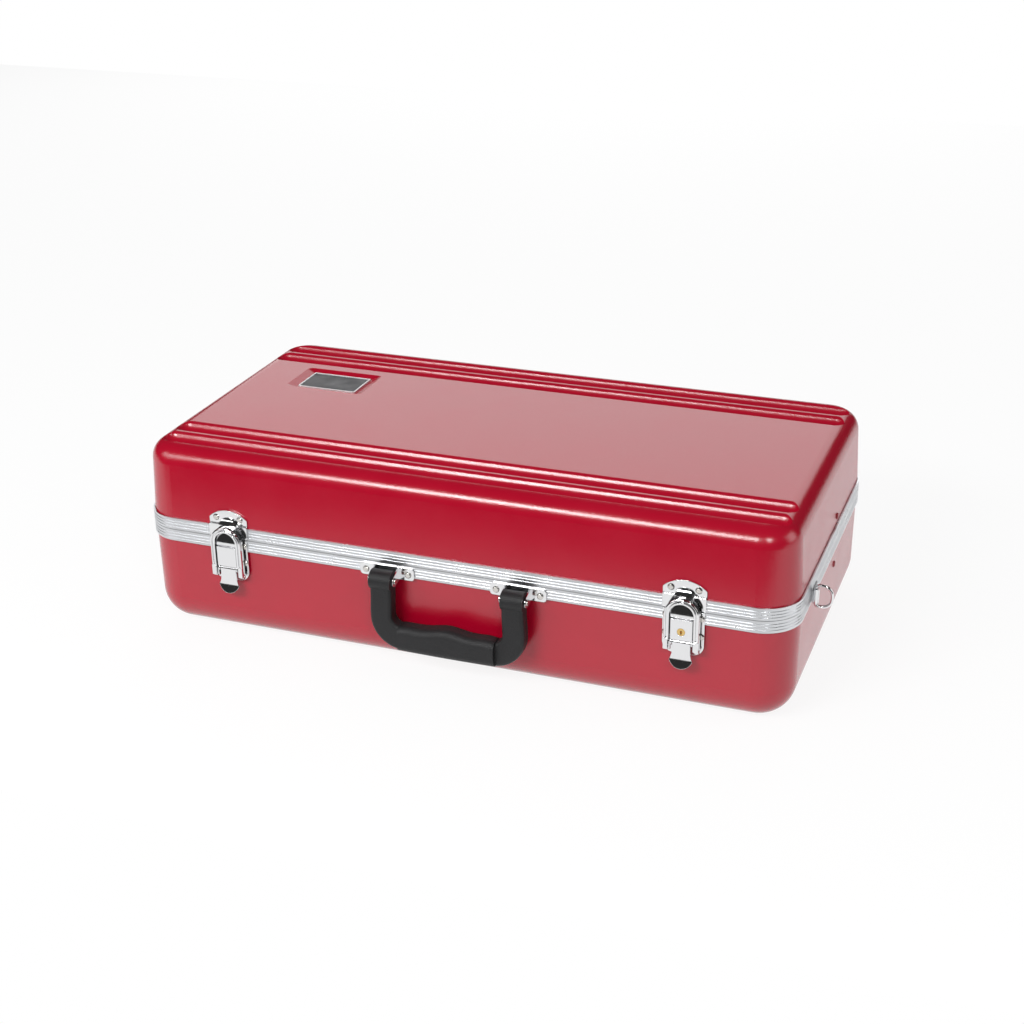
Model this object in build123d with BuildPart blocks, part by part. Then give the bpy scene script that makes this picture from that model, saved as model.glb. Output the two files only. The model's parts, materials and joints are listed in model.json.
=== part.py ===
from build123d import *
import os
from math import radians, sqrt, tan

# Moulded trumpet case: two ABS shells edged with an aluminium valance, hinged at the back,
# closed by two draw latches, with a drop handle, shoulder-strap rings and a plush-covered interior.
# Millimetres. X runs along the front, Y towards the hinges, Z up; the origin is on the ground
# under the middle of the case.

# ---- overall form ------------------------------------------------------------------------------
case_width = 560.0
case_depth = 292.0
case_height = 165.0
seam_height = 93.0
corner_radius = 32.0

# ---- valance: the two aluminium edge profiles --------------------------------------------------
seam_gap = 0.4
valance_height = 10.2
valance_skin = 1.3
valance_web = 1.4
valance_inner_drop = 7.2
valance_inner_skin = 1.4
valance_bead_depth = 0.45
valance_bead_width = 0.9
valance_bead_count = 3
tongue_width = 1.4
tongue_height = 2.0
tongue_inset = 2.5
tongue_room = 0.6

# ---- moulded shells ----------------------------------------------------------------------------
wall = 3.0
shell_fit = 0.25
channel_fit = 0.2
base_draft = 0.6
lid_draft = 2.9
base_edge_radius = 28.0
lid_edge_radius = 16.0
groove_pitch = 24.0
groove_half_width = 11.6
groove_depth = 7.4
groove_lip_radius = 3.8
groove_from_end = 21.0
first_groove_y = 92.5
plate_recess_depth = 2.8
plate_recess_length = 74.0
plate_recess_width = 49.0
plate_recess_slope = 7.5
plate_from_end = 93.0
plate_y = 47.0

# ---- name plate --------------------------------------------------------------------------------
plate_length = 56.0
plate_width = 36.0
plate_thickness = 0.9
plate_border = 1.3
plate_border_rise = 0.35
plate_corner = 1.2

# ---- fits --------------------------------------------------------------------------------------
seat_gap = 0.05
running_gap = 0.05
soft_gap = 0.4
moving_gap = 0.3

# ---- rivets ------------------------------------------------------------------------------------
rivet_radius = 1.5
rivet_head_radius = 2.8
rivet_head_height = 1.1
rivet_bevel = 0.8
rivet_tail_radius = 2.6
rivet_tail_height = 0.7

# ---- draw latches ------------------------------------------------------------------------------
latch_from_end = 85.0
latch_sheet = 1.0
latch_plate_width = 33.0
latch_plate_bottom = 55.5
latch_plate_corner = 9.0
latch_rivet_x = 13.9
latch_upper_rivet_drop = 5.2
latch_lower_rivet_drop = 20.5
housing_width = 18.0
housing_bottom = 70.2
housing_step = 87.6
housing_front = 7.6
housing_step_setback = 1.6
housing_crown_front = 3.6
housing_edge_radius = 1.2
lever_pivot_z = 67.0
lever_pivot_out = 4.2
lever_crank = 5.6
lever_hub_radius = 2.1
lever_hub_width = 14.6
lever_shaft_radius = 1.2
lever_arm_thickness = 1.1
lever_arm_radius = 1.7
ear_thickness = 1.1
ear_radius = 2.6
tab_neck_width = 14.0
tab_end_width = 18.4
tab_bottom = 45.8
tab_bend_z = 57.0
tab_flare_z = 61.0
tab_end_rise = 6.4
tab_thickness = 1.3
tab_lift = 2.6
stub_radius = 1.0
bail_width = 27.8
bail_bar = 4.2
bail_depth = 5.0
bail_standoff = 3.2
bail_arc_z = 91.2
bail_leg_width = 3.4
bail_leg_step_z = 69.5
bail_eye_radius = 2.4
bail_channel_width = 1.4
bail_channel_depth = 1.5
bail_channel_inset = 2.1
bail_round = 1.1
catch_width = 34.5
catch_top = 117.5
catch_shoulder = 110.5
catch_ledge = 1.5
catch_drop = 0.7
catch_rivet_x = 10.9
catch_rivet_z = 110.6
hood_width = 15.0
hood_top = 111.5
hood_bottom = 101.2
hood_shoulder = 105.0

# ---- lock in the right latch -------------------------------------------------------------------
lock_radius = 3.2
lock_length = 5.0
lock_z = 77.4
keyhole_radius = 0.95
keyhole_slot = 2.2
keyhole_depth = 3.0

# ---- handle ------------------------------------------------------------------------------------
handle_x = 4.8
bracket_spread = 56.2
bracket_length = 47.0
bracket_height = 10.5
bracket_bottom = 80.6
bracket_sheet = 1.2
bracket_corner = 2.6
bracket_rivet_pitch = 36.9
bracket_rivet_z = 85.4
bracket_ear_thickness = 1.3
bracket_ear_radius = 4.6
handle_pin_z = 83.0
handle_pin_out = 10.4
handle_pin_radius = 1.7
handle_pin_head_radius = 2.6
handle_pin_head_height = 0.9
handle_end_width = 18.4
handle_end_radius = 8.2
handle_leg_depth = 12.6
handle_outer_half_width = 66.2
handle_bottom = 24.0
handle_outer_radius = 27.0
handle_leg_width = 18.5
handle_bar_height = 20.5
handle_inner_radius = 9.0
handle_edge_radius = 3.0
handle_neck_length = 13.0
grip_half_length = 41.5
grip_depth = 18.0
grip_middle_out = 11.8
grip_bottom_sag = 0.5
grip_side_rise = 1.4
grip_wave_rise = 5.2
grip_dip_rise = 2.2
grip_end_slope = 0.3
grip_round = 6.5

# ---- hinges ------------------------------------------------------------------------------------
hinge_from_end = 115.0
hinge_leaf_length = 63.0
hinge_sheet = 1.2
hinge_leaf_height = 8.0
hinge_leaf_start = 1.5
hinge_barrel_radius = 2.6
hinge_pin_radius = 1.3
hinge_knuckles = 5
knuckle_gap = 0.3
hinge_rivet_pitch = 24.0
hinge_rivet_drop = 5.6

# ---- shoulder-strap rings ----------------------------------------------------------------------
ring_y = -83.0
ring_wire_radius = 1.2
ring_height = 18.0
ring_reach = 12.6
ring_bow_radius = 7.5
ring_bar_radius = 2.2
ring_barrel_radius = 2.5
ring_out = 3.2
clip_end = 5.5
clip_height = 9.6
barrel_rise = 2.4
clip_sheet = 1.2
clip_rivet_y = -71.0

# ---- interior ----------------------------------------------------------------------------------
liner_inset = 8.0
base_liner_top = 91.0
lid_liner_bottom = 95.0
lid_foam = 8.0
lid_liner_edge_radius = 12.0
lid_hollow_edge_radius = 8.0
base_liner_edge_radius = 22.0
pocket_corner = 9.0
trumpet_axis_y = -68.0
trumpet_axis_z = 88.0
bell_x = 236.0
bell_radius = 63.5
bell_throat_x = 120.0
bell_throat_radius = 26.0
bell_tail_x = -30.0
bell_tail_radius = 17.0
bell_flare_slope = 2.0
tubing_start_x = -176.0
tubing_end_x = 132.0
tubing_low_y = -116.0
tubing_high_y = -22.0
tubing_floor = 52.0
tubing_corner = 27.0
valve_start_x = -52.0
valve_end_x = 46.0
valve_low_y = -131.0
valve_high_y = 22.0
valve_floor = 34.0
leadpipe_start_x = -258.0
leadpipe_width = 34.0
leadpipe_floor = 58.0
leadpipe_corner = 11.0
well_low_y = 42.0
well_high_y = 130.0
left_well_start_x = -256.0
left_well_end_x = -20.0
right_well_start_x = 0.0
right_well_end_x = 148.0
well_floor = 26.0
mouthpiece_x = 186.0
mouthpiece_pitch = 42.0
mouthpiece_y = 96.0
mouthpiece_radius = 14.0
mouthpiece_seat_radius = 11.0
mouthpiece_tip_radius = 6.5
mouthpiece_cup_floor = 66.0
mouthpiece_floor = 22.0

# ---- lid stay strap ----------------------------------------------------------------------------
stay_y = 22.0
stay_base_z = 66.0
stay_lid_z = 110.0
stay_fold_y = 84.0
strap_width = 18.0
strap_thickness = 1.2
strap_relief = 2.4

# ---- places worked out from the sizes above ----------------------------------------------------
front_y = -case_depth / 2
back_y = case_depth / 2
end_x = case_width / 2
latch_x = end_x - latch_from_end
hinge_x = end_x - hinge_from_end
plate_x = plate_from_end - end_x
base_rim = seam_height - seam_gap / 2
lid_rim = seam_height + seam_gap / 2
valance_low = base_rim - valance_height
valance_high = lid_rim + valance_height
shell_inset = valance_skin + shell_fit
channel_inset = shell_inset + wall + channel_fit
valance_inner_inset = channel_inset + valance_inner_skin
base_shell_edge = base_rim - valance_web - shell_fit
lid_web_low = lid_rim + tongue_height + tongue_room
lid_shell_edge = lid_web_low + valance_web + shell_fit
hinge_axis_y = back_y + seat_gap + hinge_sheet + hinge_barrel_radius - hinge_sheet / 4
plate_z = case_height - plate_recess_depth + seat_gap
lid_liner_top = case_height - wall - groove_depth - soft_gap
strap_outer_x = end_x - valance_inner_inset - moving_gap
strap_inner_x = strap_outer_x - strap_thickness
crank_pin_z = lever_pivot_z - lever_crank

over = 1.0  # how far a cutting form passes the surface that it opens

os.makedirs("parts", exist_ok=True)


def write(piece, name):
    """Label one finished piece and write it as its own file."""
    piece.label = name
    export_step(piece, f"parts/{name}.step")


# ---- working planes ----------------------------------------------------------------------------
def front_plane(x, z=0.0, out=0.0):
    """Plane over the valance's front face: local x along X, local y along Z, normal outwards."""
    return Plane(origin=(x, front_y - out, z), x_dir=(1, 0, 0), z_dir=(0, -1, 0))


def front_side_plane(x):
    """Section plane across the front hardware: local x outwards, local y along Z, normal -X."""
    return Plane(origin=(x, front_y, 0), x_dir=(0, -1, 0), z_dir=(-1, 0, 0))


def hinge_plane(x):
    """Section plane across a hinge, centred on its axis: local x along Y, local y along Z."""
    return Plane(origin=(x, hinge_axis_y, seam_height), x_dir=(0, 1, 0), z_dir=(1, 0, 0))


def back_plane(x, z=0.0, out=0.0):
    """Plane over the valance's back face: local x along X, local y along -Z, normal outwards."""
    return Plane(origin=(x, back_y + out, z), x_dir=(1, 0, 0), z_dir=(0, 1, 0))


def end_plane(side, y, z, out=0.0):
    """Plane over one end of the valance, normal outwards; side is 1 on the right, -1 on the left."""
    return Plane(origin=(side * (end_x + out), y, z), x_dir=(0, side, 0), z_dir=(side, 0, 0))


def base_recess(z):
    """How far the base shell's drafted wall has leaned in from its collar at height z."""
    return (valance_low - z) * tan(radians(base_draft))


def lid_recess(z):
    """How far the lid shell's drafted wall has leaned in from its collar at height z."""
    return (z - valance_high) * tan(radians(lid_draft))


# ---- shared forms ------------------------------------------------------------------------------
def outline(inset, mode=Mode.ADD):
    """Rounded plan outline of the case, moved inwards by inset."""
    RectangleRounded(case_width - 2 * inset, case_depth - 2 * inset, corner_radius - inset, mode=mode)


def band(outer_inset, inner_inset, low, high, mode=Mode.ADD):
    """Closed band that follows the plan outline between two insets and two heights."""
    with BuildSketch(Plane.XY.offset(low)) as ring:
        outline(outer_inset)
        outline(inner_inset, mode=Mode.SUBTRACT)
    extrude(ring.sketch, amount=high - low, mode=mode)


def moulded_form(inset, start, shoulder, end, draft, edge_radius):
    """Solid block with a straight collar, drafted walls and one set of rounded outer edges."""
    up = 1 if end > start else -1
    with BuildPart() as form:
        with BuildSketch(Plane((0, 0, start), z_dir=(0, 0, up))):
            outline(inset)
        extrude(amount=abs(shoulder - start))
        with BuildSketch(Plane((0, 0, shoulder), z_dir=(0, 0, up))):
            outline(inset)
        extrude(amount=abs(end - shoulder), taper=draft)
        last_face = form.faces().filter_by(Plane.XY).sort_by(Axis.Z)[-1 if up > 0 else 0]
        fillet(last_face.edges(), radius=edge_radius)
    return form.part


def groove_cutter(wall_offset):
    """Four rounded troughs with round ends, lips included; wall_offset grows them to the inside."""
    sum_radius = (groove_half_width**2 + groove_depth**2) / (2 * groove_depth)
    trough_radius = sum_radius - groove_lip_radius + wall_offset
    lip_radius = groove_lip_radius - wall_offset
    surface = case_height - wall_offset
    bottom = (0, surface - groove_depth)
    with BuildPart() as trough:
        with BuildSketch(Plane((-groove_reach, 0, 0), x_dir=(0, 1, 0), z_dir=(1, 0, 0))) as half_profile:
            with BuildLine():
                if lip_radius > 0:
                    wall_cosine = (sum_radius - groove_depth) / sum_radius
                    half_sine = sqrt((1 - wall_cosine) / 2)
                    half_cosine = sqrt((1 + wall_cosine) / 2)
                    trough_edge = (groove_half_width * trough_radius / sum_radius,
                                   bottom[1] + trough_radius * (1 - wall_cosine))
                    lip_edge = (groove_half_width, surface)
                    ThreePointArc(bottom, (trough_radius * half_sine,
                                           bottom[1] + trough_radius * (1 - half_cosine)), trough_edge)
                    ThreePointArc(trough_edge, (groove_half_width - lip_radius * half_sine,
                                                surface - lip_radius * (1 - half_cosine)), lip_edge)
                else:
                    lip_edge = (sqrt(trough_radius**2 - (trough_radius - groove_depth)**2), surface)
                    RadiusArc(bottom, lip_edge, -trough_radius)
                Polyline(lip_edge, (lip_edge[0], surface + lid_edge_radius),
                         (0, surface + lid_edge_radius), bottom)
            make_face()
        extrude(half_profile.sketch, amount=groove_reach)
        revolve(half_profile.sketch, axis=Axis((-groove_reach, 0, 0), (0, 0, 1)))
        mirror(about=Plane.XZ)
        mirror(about=Plane.YZ)
    with BuildPart() as cutter:
        with Locations(*[(0, y, 0) for y in groove_centres]):
            add(trough.part)
    return cutter.part


def rivet(plane, grip):
    """Rivet set on a plane: bevelled head outside, shank through the grip, clinched tail inside."""
    with BuildPart() as piece:
        with BuildSketch(plane) as head:
            Circle(rivet_head_radius)
        extrude(head.sketch, amount=rivet_head_height)
        crown = piece.faces().sort_by(Axis(plane.origin, plane.z_dir))[-1]
        chamfer(crown.edges(), length=rivet_bevel)
        with BuildSketch(plane) as shank:
            Circle(rivet_radius)
        extrude(shank.sketch, amount=-grip)
        with BuildSketch(plane.offset(-grip)) as tail:
            Circle(rivet_tail_radius)
        extrude(tail.sketch, amount=-rivet_tail_height)
    return piece.part


def rivet_hole(plane, depth):
    """Hole for one rivet, cut from the part being built, running inwards from a plane."""
    with BuildSketch(plane.offset(over)) as hole:
        Circle(rivet_radius + running_gap)
    extrude(hole.sketch, amount=-depth - over, mode=Mode.SUBTRACT)


groove_centres = [side * (first_groove_y + step * groove_pitch) for side in (-1, 1) for step in (0, 1)]
groove_reach = end_x - groove_from_end
sides = {"left": -1, "right": 1}

# ---- rivet places, shared by the rivets and by every piece that they pass through --------------
def rivet_rows(planes, outer_face, inner_inset):
    """Pair each rivet's plane, lying on outer_face, with its grip down to an inset inside the case."""
    return [(plane, outer_face + inner_inset + seat_gap) for plane in planes]


latch_face = seat_gap + latch_sheet + seat_gap
latch_upper_rivet_z = base_rim - latch_upper_rivet_drop
latch_lower_rivet_z = base_rim - latch_lower_rivet_drop
latch_upper_rivets = rivet_rows(
    [front_plane(side * latch_x + x, latch_upper_rivet_z, latch_face)
     for side in (-1, 1) for x in (-latch_rivet_x, latch_rivet_x)], latch_face, valance_inner_inset)
latch_lower_rivets = rivet_rows(
    [front_plane(side * latch_x + x, latch_lower_rivet_z, latch_face)
     for side in (-1, 1) for x in (-latch_rivet_x, latch_rivet_x)],
    latch_face, shell_inset + wall + base_recess(latch_lower_rivet_z - rivet_tail_radius))
latch_rivets = latch_upper_rivets + latch_lower_rivets

catch_face = latch_sheet + seat_gap - shell_inset
catch_rivets = rivet_rows(
    [front_plane(side * latch_x + x, catch_rivet_z, catch_face)
     for side in (-1, 1) for x in (-catch_rivet_x, catch_rivet_x)],
    catch_face, shell_inset + wall + lid_recess(catch_rivet_z + rivet_tail_radius))

bracket_face = seat_gap + bracket_sheet + seat_gap
bracket_xs = [handle_x + side * bracket_spread for side in (-1, 1)]
bracket_rivets = rivet_rows(
    [front_plane(bracket_x + x, bracket_rivet_z, bracket_face)
     for bracket_x in bracket_xs for x in (-bracket_rivet_pitch / 2, bracket_rivet_pitch / 2)],
    bracket_face, valance_inner_inset)

hinge_face = seat_gap + hinge_sheet + seat_gap
hinge_rivet_xs = [side * hinge_x + step * hinge_rivet_pitch for side in (-1, 1) for step in (-1, 0, 1)]
hinge_base_rivets = rivet_rows(
    [back_plane(x, seam_height - hinge_rivet_drop, hinge_face) for x in hinge_rivet_xs],
    hinge_face, valance_inner_inset)
hinge_lid_rivets = rivet_rows(
    [back_plane(x, seam_height + hinge_rivet_drop, hinge_face) for x in hinge_rivet_xs],
    hinge_face, valance_inner_inset)

clip_face = seat_gap + clip_sheet + seat_gap
clip_z = base_rim - valance_height / 2
ring_z = clip_z + barrel_rise / 2
clip_rivets = rivet_rows(
    [end_plane(side, clip_rivet_y, clip_z, clip_face) for side in (-1, 1)], clip_face, valance_inner_inset)

# The stay strap's rivets pass through the right-hand end of both shells.
stay_base_face = shell_inset + base_recess(stay_base_z + rivet_head_radius)
stay_lid_face = shell_inset + lid_recess(stay_lid_z - rivet_head_radius)
stay_base_rivets = [(end_plane(1, stay_y, stay_base_z, -stay_base_face),
                     end_x - strap_inner_x - stay_base_face + seat_gap)]
stay_lid_rivets = [(end_plane(1, stay_y, stay_lid_z, -stay_lid_face),
                    end_x - strap_inner_x - stay_lid_face + seat_gap)]

base_valance_rivets = latch_upper_rivets + bracket_rivets + hinge_base_rivets + clip_rivets
base_rivets = base_valance_rivets + latch_lower_rivets + stay_base_rivets
lid_rivets = catch_rivets + hinge_lid_rivets + stay_lid_rivets

# ---- base shell --------------------------------------------------------------------------------
base_form = moulded_form(shell_inset, base_shell_edge, valance_low, 0, base_draft, base_edge_radius)
base_hollow = moulded_form(shell_inset + wall, base_shell_edge + over, valance_low, wall,
                           base_draft, base_edge_radius - wall)
with BuildPart() as base_shell:
    add(base_form)
    add(base_hollow, mode=Mode.SUBTRACT)
    for plane, grip in base_rivets:
        rivet_hole(plane, grip)
write(base_shell.part, "base_shell")

# ---- lid shell: four pressed grooves and a sunk panel for the name plate -----------------------
lid_form = moulded_form(shell_inset, lid_shell_edge, valance_high, case_height, lid_draft, lid_edge_radius)
lid_hollow = moulded_form(shell_inset + wall, lid_shell_edge - over, valance_high, case_height - wall,
                          lid_draft, lid_edge_radius - wall)
with BuildPart() as lid_cavity:
    add(lid_hollow)
    add(groove_cutter(wall), mode=Mode.SUBTRACT)
    with BuildSketch(Plane((plate_x, plate_y, case_height))) as recess_boss:
        RectangleRounded(plate_recess_length + wall, plate_recess_width + wall, plate_corner + wall)
    extrude(recess_boss.sketch, amount=-wall - plate_recess_depth, mode=Mode.SUBTRACT)
with BuildPart() as lid_shell:
    add(lid_form)
    add(groove_cutter(0), mode=Mode.SUBTRACT)
    with BuildSketch(Plane((plate_x, plate_y, case_height))) as recess_mouth:
        RectangleRounded(plate_recess_length, plate_recess_width, plate_corner + plate_recess_slope / 2)
    with BuildSketch(Plane((plate_x, plate_y, case_height - plate_recess_depth))) as recess_floor:
        RectangleRounded(plate_recess_length - 2 * plate_recess_slope,
                         plate_recess_width - plate_recess_slope, plate_corner + plate_recess_slope / 4)
    loft([recess_mouth.sketch, recess_floor.sketch], mode=Mode.SUBTRACT)
    add(lid_cavity.part, mode=Mode.SUBTRACT)
    for plane, grip in lid_rivets:
        rivet_hole(plane, grip)
write(lid_shell.part, "lid_shell")

# ---- valance: the base profile carries the tongue, the lid profile its groove ------------------
def beads(low, high, count):
    """Shallow decorative lines rolled into the outer face of a profile."""
    step = (high - low) / (count + 1)
    for index in range(count):
        middle = low + step * (index + 1)
        band(-over, valance_bead_depth, middle - valance_bead_width / 2, middle + valance_bead_width / 2,
             mode=Mode.SUBTRACT)


with BuildPart() as base_valance:
    band(0, valance_skin, valance_low, base_rim)
    band(0, valance_inner_inset, base_rim - valance_web, base_rim)
    band(channel_inset, valance_inner_inset, base_rim - valance_inner_drop, base_rim)
    band(tongue_inset, tongue_inset + tongue_width, base_rim - valance_web, base_rim + tongue_height)
    beads(valance_low, base_rim, valance_bead_count)
    for plane, grip in base_valance_rivets:
        rivet_hole(plane, grip)
write(base_valance.part, "base_valance")

with BuildPart() as lid_valance:
    band(0, valance_skin, lid_rim, valance_high)
    band(0, valance_inner_inset, lid_web_low, lid_web_low + valance_web)
    band(channel_inset, valance_inner_inset, lid_rim, lid_rim + valance_inner_drop)
    beads(lid_rim, valance_high, valance_bead_count)
    for plane, grip in hinge_lid_rivets:
        rivet_hole(plane, grip)
write(lid_valance.part, "lid_valance")

# ---- name plate: bare field inside a raised border ---------------------------------------------
with BuildPart() as name_plate:
    with BuildSketch(Plane((plate_x, plate_y, plate_z))):
        RectangleRounded(plate_length, plate_width, plate_corner)
    extrude(amount=plate_thickness)
    with BuildSketch(Plane((plate_x, plate_y, plate_z + plate_thickness))) as border:
        RectangleRounded(plate_length, plate_width, plate_corner)
        RectangleRounded(plate_length - 2 * plate_border, plate_width - 2 * plate_border,
                         plate_corner / 2, mode=Mode.SUBTRACT)
    extrude(border.sketch, amount=plate_border_rise)
write(name_plate.part, "name_plate")


# ---- interior ----------------------------------------------------------------------------------
def pocket(start_x, end_x, low_y, high_y, floor, corner):
    """Straight-sided pocket with rounded corners, cut down from the liner's top."""
    with BuildSketch(Plane(((start_x + end_x) / 2, (low_y + high_y) / 2, floor))) as plan:
        RectangleRounded(end_x - start_x, high_y - low_y, corner)
    extrude(plan.sketch, amount=base_liner_top - floor + over, mode=Mode.SUBTRACT)


base_liner_form = moulded_form(liner_inset, base_liner_top, valance_low, wall + soft_gap,
                               base_draft, base_liner_edge_radius)
with BuildPart() as bell_form:
    with BuildSketch(Plane.XY.offset(trumpet_axis_z)) as bell_half:
        with BuildLine():
            Line((bell_tail_x, trumpet_axis_y), (bell_x, trumpet_axis_y))
            Line((bell_x, trumpet_axis_y), (bell_x, trumpet_axis_y + bell_radius))
            Spline((bell_x, trumpet_axis_y + bell_radius),
                   (bell_throat_x, trumpet_axis_y + bell_throat_radius),
                   (bell_tail_x, trumpet_axis_y + bell_tail_radius),
                   tangents=((-1, -bell_flare_slope), (-1, 0)))
            Line((bell_tail_x, trumpet_axis_y + bell_tail_radius), (bell_tail_x, trumpet_axis_y))
        make_face()
    revolve(axis=Axis((0, trumpet_axis_y, trumpet_axis_z), (1, 0, 0)))
with BuildPart() as base_liner:
    add(base_liner_form)
    add(bell_form.part, mode=Mode.SUBTRACT)
    pocket(tubing_start_x, tubing_end_x, tubing_low_y, tubing_high_y, tubing_floor, tubing_corner)
    pocket(valve_start_x, valve_end_x, valve_low_y, valve_high_y, valve_floor, pocket_corner)
    pocket(leadpipe_start_x, tubing_start_x + tubing_corner, tubing_high_y - leadpipe_width,
           tubing_high_y, leadpipe_floor, leadpipe_corner)
    pocket(left_well_start_x, left_well_end_x, well_low_y, well_high_y, well_floor, pocket_corner)
    pocket(right_well_start_x, right_well_end_x, well_low_y, well_high_y, well_floor, pocket_corner)
    for index in (0, 1):
        x = mouthpiece_x + index * mouthpiece_pitch
        with BuildSketch(Plane((x, mouthpiece_y, mouthpiece_cup_floor))) as cup:
            Circle(mouthpiece_radius)
        extrude(cup.sketch, amount=base_liner_top - mouthpiece_cup_floor + over, mode=Mode.SUBTRACT)
        with BuildSketch(Plane((x, mouthpiece_y, mouthpiece_floor))) as shank:
            Circle(mouthpiece_tip_radius)
        with BuildSketch(Plane((x, mouthpiece_y, mouthpiece_cup_floor + over))) as shank_mouth:
            Circle(mouthpiece_seat_radius)
        loft([shank.sketch, shank_mouth.sketch], mode=Mode.SUBTRACT)
    with BuildSketch(Plane(((strap_inner_x + end_x) / 2 - strap_relief, (stay_y + stay_fold_y) / 2,
                            stay_base_z - strap_width))) as relief:
        Rectangle(end_x - strap_inner_x, stay_fold_y - stay_y + 2 * strap_width)
    extrude(relief.sketch, amount=seam_height, mode=Mode.SUBTRACT)
write(base_liner.part, "base_liner")

lid_liner_form = moulded_form(liner_inset, lid_liner_bottom, valance_high, lid_liner_top,
                              lid_draft, lid_liner_edge_radius)
lid_liner_hollow = moulded_form(liner_inset + lid_foam, lid_liner_bottom - over, valance_high,
                                lid_liner_top - lid_foam, lid_draft, lid_hollow_edge_radius)
with BuildPart() as lid_liner:
    add(lid_liner_form)
    add(lid_liner_hollow, mode=Mode.SUBTRACT)
    with BuildSketch(Plane(((strap_inner_x + end_x) / 2 - strap_relief, (stay_y + stay_fold_y) / 2,
                            lid_liner_bottom - over))) as relief:
        Rectangle(end_x - strap_inner_x, stay_fold_y - stay_y + 2 * strap_width)
    extrude(relief.sketch, amount=stay_lid_z + strap_width - lid_liner_bottom, mode=Mode.SUBTRACT)
write(lid_liner.part, "lid_liner")


# ---- rivets: one group for each set of like fasteners ------------------------------------------
def write_rivets(rows, name):
    """Write a group of separate rivets as one node."""
    write(Compound(children=[rivet(plane, grip) for plane, grip in rows]), name)


write_rivets(latch_rivets, "latch_rivets")
write_rivets(catch_rivets, "catch_rivets")
write_rivets(bracket_rivets, "handle_bracket_rivets")
write_rivets(hinge_base_rivets, "hinge_base_rivets")
write_rivets(hinge_lid_rivets, "hinge_lid_rivets")
write_rivets(clip_rivets, "ring_clip_rivets")
write_rivets(stay_base_rivets, "stay_base_rivet")
write_rivets(stay_lid_rivets, "stay_lid_rivet")


# ---- draw latches ------------------------------------------------------------------------------
def both_ways(section, width):
    """Extrude a section sketch equally to both sides of its plane."""
    extrude(section.sketch, amount=width / 2, both=True)


def arch_outline(x, half_width, low, arc_z):
    """Front outline with straight sides and a half-round top."""
    with BuildSketch(front_plane(x)) as arch:
        with BuildLine():
            Polyline((-half_width, arc_z), (-half_width, low), (half_width, low), (half_width, arc_z))
            ThreePointArc((half_width, arc_z), (0, arc_z + half_width), (-half_width, arc_z))
        make_face()
    return arch.sketch


def catch_plate(x):
    """Lid half of a latch: joggled plate with a half-round top and the hood that the bail pulls on."""
    flange_out = seat_gap + latch_sheet
    hood_out = bail_standoff - moving_gap
    ledge_top = valance_high + seat_gap + catch_ledge
    with BuildPart() as hood:
        with BuildSketch(front_side_plane(x)) as section:
            with BuildLine():
                Polyline((catch_face, hood_top), (catch_face - latch_sheet / 2, hood_top),
                         (catch_face - latch_sheet / 2, ledge_top), (flange_out / 2, ledge_top),
                         (flange_out / 2, hood_bottom), (hood_out, hood_bottom), (hood_out, hood_shoulder))
                TangentArc((hood_out, hood_shoulder), (catch_face, hood_top), tangent=(0, 1))
            make_face()
        both_ways(section, hood_width)
        hood_arch = arch_outline(x, hood_width / 2, hood_bottom, hood_top - hood_width / 2)
        extrude(hood_arch, amount=case_depth, both=True, mode=Mode.INTERSECT)
    with BuildPart() as piece:
        with BuildSketch(front_plane(x, out=catch_face - latch_sheet)) as flange:
            with BuildLine():
                Polyline((-catch_width / 2, catch_shoulder), (-catch_width / 2, valance_high + seat_gap),
                         (catch_width / 2, valance_high + seat_gap), (catch_width / 2, catch_shoulder))
                ThreePointArc((catch_width / 2, catch_shoulder), (0, catch_top),
                              (-catch_width / 2, catch_shoulder))
            make_face()
        extrude(flange.sketch, amount=latch_sheet)
        with BuildSketch(front_side_plane(x)) as joggle:
            with BuildLine():
                Polyline((catch_face - latch_sheet, ledge_top), (flange_out, ledge_top),
                         (flange_out, lid_rim + catch_drop), (seat_gap, lid_rim + catch_drop),
                         (seat_gap, valance_high + seat_gap),
                         (catch_face - latch_sheet, valance_high + seat_gap), close=True)
            make_face()
        both_ways(joggle, catch_width)
        add(hood.part)
        for plane, grip in catch_rivets:
            rivet_hole(plane, grip)
    return piece.part


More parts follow.
